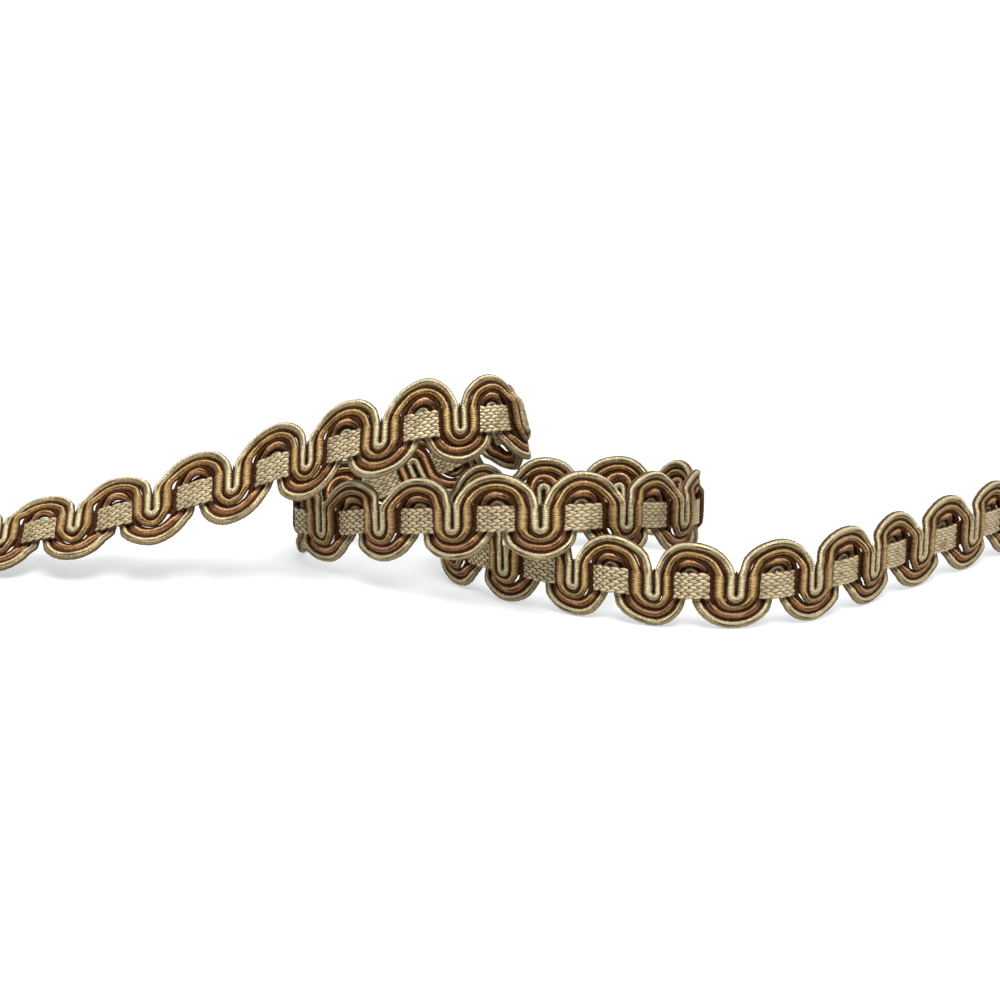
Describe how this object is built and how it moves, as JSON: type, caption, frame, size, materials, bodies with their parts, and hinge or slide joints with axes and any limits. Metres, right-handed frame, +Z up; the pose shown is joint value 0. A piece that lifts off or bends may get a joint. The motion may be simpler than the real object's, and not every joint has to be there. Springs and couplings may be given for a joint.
{
  "type": "gimp braid trim",
  "caption": "Scalloped gimp braid trim of four wrapped cords worked through a knitted band, standing on its edge in a loose spiral.",
  "frame": {"origin": "centre of the bounding box in plan, on the surface that the braid stands on", "axes": "+Z up, across the standing braid; +X along the spiral's length, from its raised left end to its low right end; +Y away from the viewer"},
  "size_m": [0.33, 0.0807, 0.0646],
  "materials": {
    "ecru_cord": "satin wrapped yarn",
    "gold_cord": "satin wrapped yarn",
    "copper_cord": "satin wrapped yarn",
    "knit_band": "matte knitted yarn"
  },
  "bodies": {
    "root": {"ecru_cord_outer": "ecru_cord", "gold_cord": "gold_cord", "copper_cord": "copper_cord", "ecru_cord_inner": "ecru_cord", "knit_band": "knit_band"}
  },
  "joints": []
}
